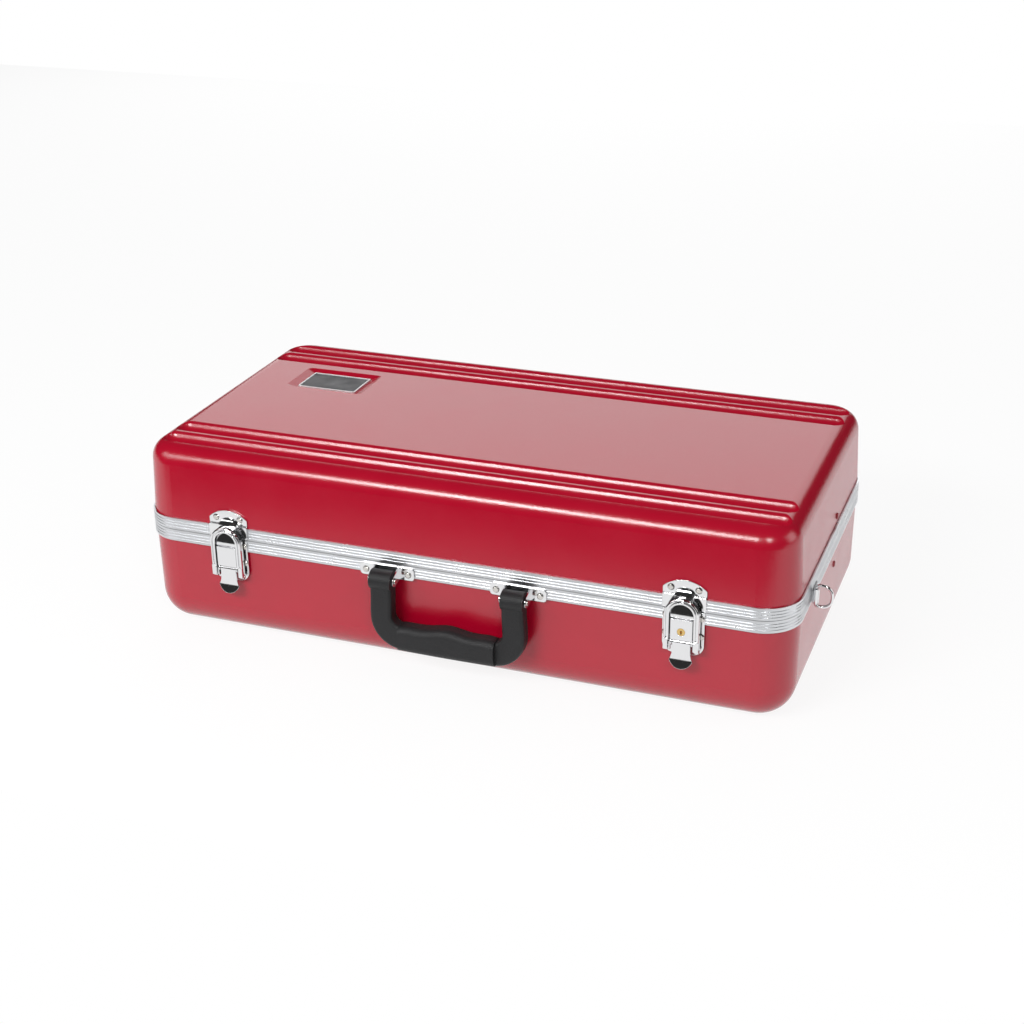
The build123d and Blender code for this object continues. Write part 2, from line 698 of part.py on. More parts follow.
def latch_base(x, with_lock):
    """Base half of a latch: riveted plate, raised housing with a crowned top, and the lever's ears."""
    plate_out = seat_gap + latch_sheet
    overhang_out = plate_out + soft_gap
    crown_top = bail_arc_z + housing_width / 2
    with BuildPart() as housing:
        with BuildSketch(front_side_plane(x)) as section:
            with BuildLine():
                Polyline((housing_crown_front, crown_top), (overhang_out, crown_top),
                         (overhang_out, base_rim), (plate_out, base_rim), (plate_out, housing_bottom),
                         (housing_front, housing_bottom), (housing_front, housing_step),
                         (housing_front - housing_step_setback, housing_step + housing_step_setback / 2))
                TangentArc((housing_front - housing_step_setback, housing_step + housing_step_setback / 2),
                           (housing_crown_front, crown_top), tangent=(0, 1))
            make_face()
        both_ways(section, housing_width)
        face_edges = housing.faces().filter_by(Axis.Y).sort_by(Axis.Y)[0].edges().filter_by(Axis.Z)
        fillet(face_edges, radius=housing_edge_radius)
        crown = arch_outline(x, housing_width / 2, housing_bottom, bail_arc_z)
        extrude(crown, amount=case_depth, both=True, mode=Mode.INTERSECT)
    with BuildPart() as piece:
        with BuildSketch(front_plane(x, out=seat_gap)) as plate:
            with Locations((0, (latch_plate_bottom + base_rim) / 2)):
                Rectangle(latch_plate_width, base_rim - latch_plate_bottom)
            fillet(plate.vertices().sort_by(Axis.Y)[:2], radius=latch_plate_corner)
        extrude(plate.sketch, amount=latch_sheet)
        add(housing.part)
        for side in (-1, 1):
            ear_x = side * (lever_hub_width / 2 + moving_gap + ear_thickness / 2)
            with BuildSketch(front_side_plane(x + ear_x)) as ear:
                with Locations(((lever_pivot_out + latch_sheet / 2) / 2, lever_pivot_z)):
                    Rectangle(lever_pivot_out - latch_sheet / 2, 2 * ear_radius)
                with Locations((lever_pivot_out, lever_pivot_z)):
                    Circle(ear_radius)
                    Circle(lever_shaft_radius + running_gap, mode=Mode.SUBTRACT)
            both_ways(ear, ear_thickness)
        if with_lock:
            with BuildSketch(front_plane(x, lock_z, housing_front)) as bore:
                Circle(lock_radius + running_gap)
            extrude(bore.sketch, amount=-lock_length - seat_gap, mode=Mode.SUBTRACT)
        for plane, grip in latch_rivets:
            rivet_hole(plane, grip)
    return piece.part


def latch_lever(x):
    """Thumb lever: flared tab on a hub, a shaft through both ears and a crank at each end."""
    tab_front = lever_pivot_out + lever_hub_radius
    arm_inner = lever_hub_width / 2 + 2 * moving_gap + ear_thickness
    arm_outer = arm_inner + lever_arm_thickness
    with BuildPart() as tab:
        with BuildSketch(front_side_plane(x)) as section:
            with BuildLine():
                Line((tab_front, lever_pivot_z), (tab_front, tab_bend_z))
                TangentArc((tab_front, tab_bend_z), (tab_front + tab_lift, tab_bottom), tangent=(0, -1))
                Line((tab_front + tab_lift, tab_bottom), (tab_front + tab_lift - tab_thickness, tab_bottom))
                TangentArc((tab_front - tab_thickness, tab_bend_z),
                           (tab_front + tab_lift - tab_thickness, tab_bottom), tangent=(0, -1))
                Line((tab_front - tab_thickness, tab_bend_z), (tab_front - tab_thickness, lever_pivot_z))
                Line((tab_front - tab_thickness, lever_pivot_z), (tab_front, lever_pivot_z))
            make_face()
        both_ways(section, tab_end_width)
        with BuildSketch(front_plane(x)) as outline_face:
            with BuildLine():
                Line((0, lever_pivot_z + over), (tab_neck_width / 2, lever_pivot_z + over))
                Line((tab_neck_width / 2, lever_pivot_z + over), (tab_neck_width / 2, tab_flare_z))
                TangentArc((tab_neck_width / 2, tab_flare_z), (tab_end_width / 2, tab_bottom + tab_end_rise),
                           tangent=(0, -1))
                RadiusArc((tab_end_width / 2, tab_bottom + tab_end_rise), (0, tab_bottom),
                          (tab_end_width**2 / 4 + tab_end_rise**2) / (2 * tab_end_rise))
                Line((0, tab_bottom), (0, lever_pivot_z + over))
            make_face()
            mirror(about=Plane.YZ)
        extrude(outline_face.sketch, amount=case_depth, both=True, mode=Mode.INTERSECT)
    with BuildPart() as piece:
        add(tab.part)
        with BuildSketch(front_side_plane(x)) as hub:
            with Locations((lever_pivot_out, lever_pivot_z)):
                Circle(lever_hub_radius)
        both_ways(hub, lever_hub_width)
        with BuildSketch(front_side_plane(x)) as shaft:
            with Locations((lever_pivot_out, lever_pivot_z)):
                Circle(lever_shaft_radius)
        both_ways(shaft, 2 * arm_outer)
        for side in (-1, 1):
            with BuildSketch(front_side_plane(x + side * (arm_inner + arm_outer) / 2)) as arm:
                with Locations((lever_pivot_out, lever_pivot_z), (lever_pivot_out, crank_pin_z)):
                    Circle(lever_arm_radius)
                with Locations((lever_pivot_out, (lever_pivot_z + crank_pin_z) / 2)):
                    Rectangle(2 * lever_arm_radius, lever_crank)
            both_ways(arm, lever_arm_thickness)
            stub_length = bail_width / 2 + moving_gap - arm_outer
            with BuildSketch(front_side_plane(x + side * (arm_outer + stub_length / 2))) as stub:
                with Locations((lever_pivot_out, crank_pin_z)):
                    Circle(stub_radius)
            both_ways(stub, stub_length)
    return piece.part


def latch_bail(x):
    """Arched draw loop of channel section, with an eye at the foot of each leg."""
    half = bail_width / 2
    leg_centre = half - bail_leg_width / 2
    channel_mid = half - bail_bar + bail_channel_inset
    channel_low = bail_leg_step_z - over
    channel_out = arch_outline(x, channel_mid + bail_channel_width / 2, channel_low, bail_arc_z)
    channel_in = arch_outline(x, channel_mid - bail_channel_width / 2, channel_low, bail_arc_z)
    with BuildPart() as channel:
        extrude(channel_out, amount=bail_standoff + bail_depth + over)
        extrude(channel_in, amount=bail_standoff + bail_depth + over, mode=Mode.SUBTRACT)
        extrude(channel_out, amount=bail_standoff + bail_depth - bail_channel_depth, mode=Mode.SUBTRACT)
    with BuildPart() as piece:
        outer = arch_outline(x, half, bail_leg_step_z, bail_arc_z)
        inner = arch_outline(x, half - bail_bar, bail_leg_step_z - over, bail_arc_z)
        extrude(outer, amount=bail_standoff + bail_depth)
        extrude(outer, amount=bail_standoff, mode=Mode.SUBTRACT)
        extrude(inner, amount=bail_standoff + bail_depth + over, mode=Mode.SUBTRACT)
        rims = piece.faces().filter_by(Axis.Y).sort_by(Axis.Y)[0].edges()
        outer_rim = [edge for edge in rims
                     if max(abs(edge.center().X - x), edge.center().Z - bail_arc_z) > half - bail_bar / 2]
        fillet(outer_rim, radius=bail_round)
        add(channel.part, mode=Mode.SUBTRACT)
        for side in (-1, 1):
            with BuildSketch(front_side_plane(x + side * leg_centre)) as leg:
                with Locations((bail_standoff + bail_depth / 2, (crank_pin_z + bail_leg_step_z + over) / 2)):
                    Rectangle(bail_depth, bail_leg_step_z - crank_pin_z + over)
                with Locations((lever_pivot_out, crank_pin_z)):
                    Circle(bail_eye_radius)
            both_ways(leg, bail_leg_width)
            with BuildSketch(front_side_plane(x + side * leg_centre)) as eye:
                with Locations((lever_pivot_out, crank_pin_z)):
                    Circle(stub_radius + running_gap)
            extrude(eye.sketch, amount=bail_leg_width, both=True, mode=Mode.SUBTRACT)
    return piece.part


for name, side in sides.items():
    write(catch_plate(side * latch_x), f"{name}_catch_plate")
    write(latch_base(side * latch_x, with_lock=name == "right"), f"{name}_latch_base")
    write(latch_lever(side * latch_x), f"{name}_latch_lever")
    write(latch_bail(side * latch_x), f"{name}_latch_bail")

# ---- lock plug with its keyhole ----------------------------------------------------------------
with BuildPart() as lock_plug:
    with BuildSketch(front_plane(latch_x, lock_z, housing_front)) as face:
        Circle(lock_radius)
    extrude(face.sketch, amount=-lock_length)
    with BuildSketch(front_plane(latch_x, lock_z, housing_front + over)) as keyhole:
        Circle(keyhole_radius)
        with Locations((0, -keyhole_slot / 2)):
            Rectangle(keyhole_radius, keyhole_slot)
    extrude(keyhole.sketch, amount=-keyhole_depth - over, mode=Mode.SUBTRACT)
write(lock_plug.part, "lock_plug")


# ---- handle and its brackets -------------------------------------------------------------------
def handle_bracket(x):
    """Riveted strip with two ears that hold one end of the handle."""
    strip_middle = bracket_bottom + bracket_height / 2
    ear_centre = handle_end_width / 2 + moving_gap + bracket_ear_thickness / 2
    with BuildPart() as piece:
        with BuildSketch(front_plane(x, strip_middle, seat_gap)) as strip:
            RectangleRounded(bracket_length, bracket_height, bracket_corner)
        extrude(strip.sketch, amount=bracket_sheet)
        for side in (-1, 1):
            with BuildSketch(front_side_plane(x + side * ear_centre)) as ear:
                with BuildLine():
                    Polyline((seat_gap + bracket_sheet / 2, bracket_bottom + bracket_height),
                             (handle_pin_out, handle_pin_z + bracket_ear_radius))
                    ThreePointArc((handle_pin_out, handle_pin_z + bracket_ear_radius),
                                  (handle_pin_out + bracket_ear_radius, handle_pin_z),
                                  (handle_pin_out, handle_pin_z - bracket_ear_radius))
                    Polyline((handle_pin_out, handle_pin_z - bracket_ear_radius),
                             (seat_gap + bracket_sheet / 2, bracket_bottom),
                             (seat_gap + bracket_sheet / 2, bracket_bottom + bracket_height))
                make_face()
                with Locations((handle_pin_out, handle_pin_z)):
                    Circle(handle_pin_radius + running_gap, mode=Mode.SUBTRACT)
            both_ways(ear, bracket_ear_thickness)
        for plane, grip in bracket_rivets:
            rivet_hole(plane, grip)
    return piece.part


for name, bracket_x in zip(sides, bracket_xs):
    write(handle_bracket(bracket_x), f"{name}_handle_bracket")

handle_ear_outer = handle_end_width / 2 + moving_gap + bracket_ear_thickness + moving_gap
handle_pins = []
for bracket_x in bracket_xs:
    with BuildPart() as pin:
        with BuildSketch(front_side_plane(bracket_x)) as shank:
            with Locations((handle_pin_out, handle_pin_z)):
                Circle(handle_pin_radius)
        both_ways(shank, 2 * (handle_ear_outer + handle_pin_head_height))
        for end in (-1, 1):
            head_x = bracket_x + end * (handle_ear_outer + handle_pin_head_height / 2)
            with BuildSketch(front_side_plane(head_x)) as head:
                with Locations((handle_pin_out, handle_pin_z)):
                    Circle(handle_pin_head_radius)
            both_ways(head, handle_pin_head_height)
    handle_pins.append(pin.part)
write(Compound(children=handle_pins), "handle_pins")

# The handle hangs as a broad loop: two flat legs, rounded lower corners and a thicker waved grip.
bar_top = handle_bottom + handle_bar_height
leg_inner = handle_outer_half_width - handle_leg_width
end_outer = bracket_spread + handle_end_width / 2
end_inner = bracket_spread - handle_end_width / 2
neck_z = handle_pin_z - handle_neck_length
with BuildPart() as handle_grip:
    with BuildSketch(front_plane(handle_x, out=grip_middle_out - grip_depth / 2)) as grip_outline:
        with BuildLine():
            Spline((-grip_half_length, bar_top + grip_side_rise),
                   (-grip_half_length / 2, bar_top + grip_dip_rise), (0, bar_top + grip_wave_rise),
                   (grip_half_length / 2, bar_top + grip_dip_rise),
                   (grip_half_length, bar_top + grip_side_rise),
                   tangents=((1, grip_end_slope), (1, -grip_end_slope)))
            Line((grip_half_length, bar_top + grip_side_rise), (grip_half_length, handle_bottom))
            ThreePointArc((grip_half_length, handle_bottom), (0, handle_bottom - grip_bottom_sag),
                          (-grip_half_length, handle_bottom))
            Line((-grip_half_length, handle_bottom), (-grip_half_length, bar_top + grip_side_rise))
        make_face()
    extrude(grip_outline.sketch, amount=grip_depth)
    long_edges = [edge for face in handle_grip.faces().filter_by(Axis.Y) for edge in face.edges()
                  if abs(edge.center().X - handle_x) < grip_half_length / 2]
    fillet(long_edges, radius=grip_round)
with BuildPart() as handle:
    with BuildSketch(front_plane(handle_x, out=handle_pin_out - handle_leg_depth / 2)) as loop:
        with BuildLine():
            FilletPolyline((0, handle_bottom), (handle_outer_half_width, handle_bottom),
                           (handle_outer_half_width, neck_z - handle_neck_length), (end_outer, neck_z),
                           (end_outer, handle_pin_z),
                           radius=[handle_outer_radius, handle_inner_radius, handle_inner_radius])
            Line((end_outer, handle_pin_z), (end_inner, handle_pin_z))
            FilletPolyline((end_inner, handle_pin_z), (end_inner, neck_z), (leg_inner, bar_top), (0, bar_top),
                           radius=[handle_inner_radius, handle_inner_radius])
            Line((0, bar_top), (0, handle_bottom))
        make_face()
        mirror(about=Plane.YZ)
    extrude(loop.sketch, amount=handle_leg_depth)
    loop_edges = handle.faces().filter_by(Axis.Y).edges().filter_by(
        lambda edge: edge.center().Z < handle_pin_z - over)
    fillet(loop_edges, radius=handle_edge_radius)
    for bracket_x in bracket_xs:
        with BuildSketch(front_side_plane(bracket_x)) as end_roll:
            with Locations((handle_pin_out, handle_pin_z)):
                Circle(handle_end_radius)
        both_ways(end_roll, handle_end_width)
    add(handle_grip.part)
    for bracket_x in bracket_xs:
        with BuildSketch(front_side_plane(bracket_x)) as bore:
            with Locations((handle_pin_out, handle_pin_z)):
                Circle(handle_pin_radius + running_gap)
        extrude(bore.sketch, amount=handle_end_width, both=True, mode=Mode.SUBTRACT)
write(handle.part, "handle")


# ---- hinges: interleaved knuckles on one pin ---------------------------------------------------
def hinge_leaf(x, up, knuckles, rivet_rows):
    """One leaf: up is 1 on the lid and -1 on the base; knuckles lists the places that it fills."""
    pitch = hinge_leaf_length / hinge_knuckles
    face_in = back_y + seat_gap - hinge_axis_y
    near = up * hinge_leaf_start
    far = up * (hinge_leaf_start + hinge_leaf_height)
    with BuildPart() as piece:
        with BuildSketch(hinge_plane(x)) as leaf:
            with Locations((face_in + hinge_sheet / 2, (near + far) / 2)):
                Rectangle(hinge_sheet, hinge_leaf_height)
        both_ways(leaf, hinge_leaf_length)
        for index in knuckles:
            knuckle_x = x + (index - (hinge_knuckles - 1) / 2) * pitch
            with BuildSketch(hinge_plane(knuckle_x)) as knuckle:
                Circle(hinge_barrel_radius)
                with Locations((face_in + hinge_sheet / 2, near / 2)):
                    Rectangle(hinge_sheet, hinge_leaf_start)
                Circle(hinge_pin_radius + running_gap, mode=Mode.SUBTRACT)
            both_ways(knuckle, pitch - knuckle_gap)
        for plane, grip in rivet_rows:
            rivet_hole(plane, grip)
    return piece.part


base_knuckles = range(0, hinge_knuckles, 2)
lid_knuckles = range(1, hinge_knuckles, 2)
hinge_pins = []
for name, side in sides.items():
    write(hinge_leaf(side * hinge_x, -1, base_knuckles, hinge_base_rivets), f"{name}_hinge_base_leaf")
    write(hinge_leaf(side * hinge_x, 1, lid_knuckles, hinge_lid_rivets), f"{name}_hinge_lid_leaf")
    with BuildPart() as pin:
        with BuildSketch(hinge_plane(side * hinge_x)) as round_bar:
            Circle(hinge_pin_radius)
        both_ways(round_bar, hinge_leaf_length)
    hinge_pins.append(pin.part)
write(Compound(children=hinge_pins), "hinge_pins")


# ---- shoulder-strap rings and their clips ------------------------------------------------------
def ring_plane(side, z):
    """Plan section through a ring's upright axis: local x outwards from the end, local y along Y."""
    return Plane(origin=(side * (end_x + ring_out), ring_y, z), x_dir=(side, 0, 0), z_dir=(0, 0, side))


def ring_clip(side):
    """Riveted strip rolled round the straight bar of a ring."""
    strip_reach = clip_rivet_y + clip_end - ring_y
    with BuildPart() as piece:
        with BuildSketch(ring_plane(side, clip_z)) as rolled:
            Circle(ring_barrel_radius)
            with Locations((seat_gap + clip_sheet / 2 - ring_out, side * strip_reach / 2)):
                Rectangle(clip_sheet, strip_reach)
            with Locations(((seat_gap - ring_out) / 2, side * ring_barrel_radius / 2)):
                Rectangle(ring_out - seat_gap, ring_barrel_radius)
            Circle(ring_wire_radius + running_gap, mode=Mode.SUBTRACT)
        extrude(rolled.sketch, amount=clip_height / 2, both=True)
        with BuildSketch(Plane(origin=(side * (end_x + ring_out), ring_y, clip_z))) as barrel:
            Circle(ring_barrel_radius)
            Circle(ring_wire_radius + running_gap, mode=Mode.SUBTRACT)
        extrude(barrel.sketch, amount=clip_height / 2 + barrel_rise)
        for plane, grip in clip_rivets:
            rivet_hole(plane, grip)
    return piece.part


def strap_ring(side):
    """Wire ring with a straight bar and a rounded bow."""
    axis_x = side * (end_x + ring_out)
    half = ring_height / 2
    with BuildPart() as piece:
        upright = Plane(origin=(axis_x, ring_y, ring_z), x_dir=(side, 0, 0), z_dir=(0, -side, 0))
        with BuildLine(upright) as path:
            FilletPolyline((0, 0), (0, half), (ring_reach, half), (ring_reach, -half), (0, -half), (0, -over),
                           radius=[ring_bar_radius, ring_bow_radius, ring_bow_radius, ring_bar_radius])
            Line((0, -over), (0, 0))
        with BuildSketch(Plane(origin=(axis_x, ring_y, ring_z), z_dir=(0, 0, 1))):
            Circle(ring_wire_radius)
        sweep(path=path.line)
    return piece.part


for name, side in sides.items():
    write(ring_clip(side), f"{name}_ring_clip")
    write(strap_ring(side), f"{name}_strap_ring")

# ---- lid stay strap: folded towards the hinges between the liner and the right-hand end --------
fold_z = (stay_base_z + stay_lid_z) / 2
with BuildPart() as stay_strap:
    with BuildSketch(Plane(origin=(strap_inner_x, 0, 0), x_dir=(0, 1, 0), z_dir=(1, 0, 0))) as folded:
        with BuildLine():
            Polyline((stay_y, stay_base_z - strap_width / 2), (stay_fold_y, fold_z - strap_width / 2),
                     (stay_fold_y, fold_z + strap_width / 2), (stay_y, stay_lid_z + strap_width / 2),
                     (stay_y - strap_width / 2, stay_lid_z + strap_width / 2),
                     (stay_y - strap_width / 2, stay_lid_z - strap_width / 2),
                     (stay_y, stay_lid_z - strap_width / 2), (stay_fold_y - strap_width, fold_z),
                     (stay_y, stay_base_z + strap_width / 2),
                     (stay_y - strap_width / 2, stay_base_z + strap_width / 2),
                     (stay_y - strap_width / 2, stay_base_z - strap_width / 2), close=True)
        make_face()
        with Locations((stay_y, stay_base_z), (stay_y, stay_lid_z)):
            Circle(rivet_radius + running_gap, mode=Mode.SUBTRACT)
    extrude(folded.sketch, amount=strap_thickness)
write(stay_strap.part, "stay_strap")
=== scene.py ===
import json
import math
import bpy
from mathutils import Euler, Matrix, Vector


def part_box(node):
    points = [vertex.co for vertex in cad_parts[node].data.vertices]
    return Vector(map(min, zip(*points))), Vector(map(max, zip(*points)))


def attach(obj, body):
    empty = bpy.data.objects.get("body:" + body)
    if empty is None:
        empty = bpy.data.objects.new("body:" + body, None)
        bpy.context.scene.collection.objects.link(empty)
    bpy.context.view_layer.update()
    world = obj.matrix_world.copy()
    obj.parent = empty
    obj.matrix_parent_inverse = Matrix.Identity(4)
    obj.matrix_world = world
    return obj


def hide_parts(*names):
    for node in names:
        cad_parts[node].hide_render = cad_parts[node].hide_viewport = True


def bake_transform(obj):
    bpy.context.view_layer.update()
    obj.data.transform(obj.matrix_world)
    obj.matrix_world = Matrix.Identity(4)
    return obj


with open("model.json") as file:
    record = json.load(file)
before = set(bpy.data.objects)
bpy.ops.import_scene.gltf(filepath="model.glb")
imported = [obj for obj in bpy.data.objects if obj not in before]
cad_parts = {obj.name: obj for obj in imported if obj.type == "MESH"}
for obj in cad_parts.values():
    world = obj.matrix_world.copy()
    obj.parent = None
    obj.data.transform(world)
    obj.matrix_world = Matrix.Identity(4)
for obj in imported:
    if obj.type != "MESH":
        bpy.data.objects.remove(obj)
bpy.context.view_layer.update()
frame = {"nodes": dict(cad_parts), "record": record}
bpy.ops.object.select_all(action="DESELECT")

# ---- Viewpoint ---------------------------------------------------------------------------------
# The case is seen from the front right, a little above, with a short telephoto lens. The camera
# is rolled by less than a degree.
viewpoint_place = (0.4851, -1.2741, 0.7090)
viewpoint_tilt = math.radians(90 - 24.7)
viewpoint_turn = math.radians(20.8)
viewpoint_roll = math.radians(-0.86)
bpy.ops.object.camera_add(location=viewpoint_place)
viewpoint = bpy.context.object
viewpoint.name = "viewpoint"
viewpoint.matrix_world = (Matrix.Translation(viewpoint_place)
                          @ Euler((viewpoint_tilt, 0, viewpoint_turn)).to_matrix().to_4x4()
                          @ Matrix.Rotation(viewpoint_roll, 4, "Z"))
viewpoint.data.sensor_fit = "HORIZONTAL"
viewpoint.data.sensor_width = 36.0
viewpoint.data.lens = 60.71
bpy.context.scene.camera = viewpoint

# ---- Studio ------------------------------------------------------------------------------------
# A white table that ends just in front of the case, a key softbox at the front left with a weaker
# one beside it, a wide screen of light behind that the lid's top mirrors, and two lamps on the
# right. The air is white to the viewer, a pale grey light on the case, and dim where it is mirrored.
bpy.context.scene.view_settings.view_transform = "Standard"
table_front, table_back, table_side = -0.41, 2.1, 2.6
bpy.ops.mesh.primitive_plane_add(size=1, location=(0, (table_front + table_back) / 2, -0.0003))
floor = bpy.context.object
floor.name = "studio_table"
floor.scale = (2 * table_side, table_back - table_front, 1)
bpy.ops.object.transform_apply(location=True, rotation=True, scale=True)
floor_paint = bpy.data.materials.new("studio_table_paint")
floor_paint.use_nodes = True
nodes, links = floor_paint.node_tree.nodes, floor_paint.node_tree.links
shader = nodes["Principled BSDF"]
shader.inputs["Base Color"].default_value = (0.92, 0.92, 0.92, 1)
shader.inputs["Roughness"].default_value = 0.9
shader.inputs["Specular IOR Level"].default_value = 0.0
glow = nodes.new("ShaderNodeEmission")
glow.inputs["Color"].default_value = (1, 1, 1, 1)
glow.inputs["Strength"].default_value = 1.0
rays = nodes.new("ShaderNodeLightPath")
shown = nodes.new("ShaderNodeMath")
shown.operation = "MULTIPLY"
shown.inputs[1].default_value = 0.88
links.new(rays.outputs["Is Camera Ray"], shown.inputs[0])
share = nodes.new("ShaderNodeMath")
share.operation = "MAXIMUM"
links.new(shown.outputs[0], share.inputs[0])
links.new(rays.outputs["Is Glossy Ray"], share.inputs[1])
blend = nodes.new("ShaderNodeMixShader")
links.new(share.outputs[0], blend.inputs[0])
links.new(shader.outputs[0], blend.inputs[1])
links.new(glow.outputs[0], blend.inputs[2])
links.new(blend.outputs[0], nodes["Material Output"].inputs["Surface"])
floor.data.materials.append(floor_paint)

studio_air = bpy.data.worlds.new("studio_air")
bpy.context.scene.world = studio_air
studio_air.use_nodes = True
nodes, links = studio_air.node_tree.nodes, studio_air.node_tree.links
even = nodes["Background"]
even.inputs["Color"].default_value = (1, 1, 1, 1)
even.inputs["Strength"].default_value = 0.34
white = nodes.new("ShaderNodeBackground")
white.inputs["Color"].default_value = (1, 1, 1, 1)
white.inputs["Strength"].default_value = 1.0
rays = nodes.new("ShaderNodeLightPath")
blend = nodes.new("ShaderNodeMixShader")
links.new(rays.outputs["Is Camera Ray"], blend.inputs[0])
links.new(even.outputs[0], blend.inputs[1])
links.new(white.outputs[0], blend.inputs[2])
dim = nodes.new("ShaderNodeBackground")
dim.inputs["Color"].default_value = (1, 1, 1, 1)
dim.inputs["Strength"].default_value = 0.03
mirrored = nodes.new("ShaderNodeMixShader")
links.new(rays.outputs["Is Glossy Ray"], mirrored.inputs[0])
links.new(blend.outputs[0], mirrored.inputs[1])
links.new(dim.outputs[0], mirrored.inputs[2])
links.new(mirrored.outputs[0], nodes["World Output"].inputs["Surface"])


def softbox(name, place, aim, width, height, watts):
    """Large soft lamp at place, turned towards aim."""
    bpy.ops.object.light_add(type="AREA", location=place)
    lamp = bpy.context.object
    lamp.name = name
    lamp.data.shape = "RECTANGLE"
    lamp.data.size = width
    lamp.data.size_y = height
    lamp.data.energy = watts
    lamp.rotation_euler = (Vector(aim) - Vector(place)).to_track_quat("-Z", "Y").to_euler()
    lamp.visible_camera = False
    return lamp


softbox("key_softbox", place=(-0.48, -1.55, 1.20), aim=(0, -0.1, 0.1), width=0.95, height=0.36, watts=24.0)
softbox("left_softbox", place=(-1.60, -1.35, 1.15), aim=(0, -0.1, 0.1), width=1.1, height=0.7, watts=9.0)
softbox("back_screen", place=(-0.55, 2.2, 1.05), aim=(-0.2, 0, 0.2), width=2.5, height=1.7, watts=20.5)
softbox("right_softbox", place=(2.1, 0.3, 0.8), aim=(0, 0, 0.1), width=1.2, height=1.2, watts=9.0)
softbox("corner_lamp", place=(0.80, -1.40, 1.20), aim=(0.25, -0.1, 0.1), width=0.26, height=0.26, watts=7.0)


# ---- Base and lid shells -----------------------------------------------------------------------
# Two formed ABS shells, red all through. The forming tool leaves a fine leather grain with a
# semi-gloss skin, its gloss a little uneven at random.
def grained_plastic(name, colour, shade, cell, relief, roughness):
    """Moulded plastic with leather grain: rounded pebbles of the given cell size and relief."""
    plastic = bpy.data.materials.new(name)
    plastic.use_nodes = True
    nodes, links = plastic.node_tree.nodes, plastic.node_tree.links
    shader = nodes["Principled BSDF"]
    place = nodes.new("ShaderNodeTexCoord")
    warp = nodes.new("ShaderNodeTexNoise")
    warp.inputs["Scale"].default_value = 0.35 / cell
    warp.inputs["Detail"].default_value = 2.0
    links.new(place.outputs["Object"], warp.inputs["Vector"])
    drift = nodes.new("ShaderNodeVectorMath")
    drift.operation = "MULTIPLY_ADD"
    drift.inputs[1].default_value = (cell * 1.6, cell * 1.6, cell * 1.6)
    links.new(warp.outputs["Color"], drift.inputs[0])
    links.new(place.outputs["Object"], drift.inputs[2])
    pebbles = nodes.new("ShaderNodeTexVoronoi")
    pebbles.feature = "SMOOTH_F1"
    pebbles.inputs["Scale"].default_value = 1.0 / cell
    pebbles.inputs["Smoothness"].default_value = 0.35
    links.new(drift.outputs[0], pebbles.inputs["Vector"])
    fine = nodes.new("ShaderNodeTexNoise")
    fine.inputs["Scale"].default_value = 3.2 / cell
    fine.inputs["Detail"].default_value = 3.0
    links.new(place.outputs["Object"], fine.inputs["Vector"])
    heights = nodes.new("ShaderNodeMath")
    heights.operation = "MULTIPLY_ADD"
    heights.inputs[1].default_value = -1.0
    links.new(pebbles.outputs["Distance"], heights.inputs[0])
    links.new(fine.outputs["Fac"], heights.inputs[2])
    grain = nodes.new("ShaderNodeBump")
    grain.inputs["Strength"].default_value = 1.0
    grain.inputs["Distance"].default_value = relief
    links.new(heights.outputs[0], grain.inputs["Height"])
    links.new(grain.outputs["Normal"], shader.inputs["Normal"])
    mottle = nodes.new("ShaderNodeTexNoise")
    mottle.inputs["Scale"].default_value = 26.0
    mottle.inputs["Detail"].default_value = 5.0
    links.new(place.outputs["Object"], mottle.inputs["Vector"])
    tint = nodes.new("ShaderNodeMix")
    tint.data_type = "RGBA"
    tint.inputs["A"].default_value = (*shade, 1)
    tint.inputs["B"].default_value = (*colour, 1)
    links.new(mottle.outputs["Fac"], tint.inputs["Factor"])
    links.new(tint.outputs["Result"], shader.inputs["Base Color"])
    skin = nodes.new("ShaderNodeMapRange")
    skin.inputs["To Min"].default_value = roughness - 0.05
    skin.inputs["To Max"].default_value = roughness + 0.07
    links.new(mottle.outputs["Fac"], skin.inputs["Value"])
    links.new(skin.outputs["Result"], shader.inputs["Roughness"])
    return plastic


def paint(node, material):
    """Give one CAD node its material."""
    node = frame["nodes"][node]
    node.data.materials.clear()
    node.data.materials.append(material)


red_abs = grained_plastic("red_abs", colour=(0.38, 0.001, 0.018), shade=(0.34, 0.001, 0.015),
                          cell=0.0013, relief=0.00004, roughness=0.19)
red_abs.node_tree.nodes["Principled BSDF"].inputs["Specular IOR Level"].default_value = 0.75
paint("base_shell", red_abs)
paint("lid_shell", red_abs)


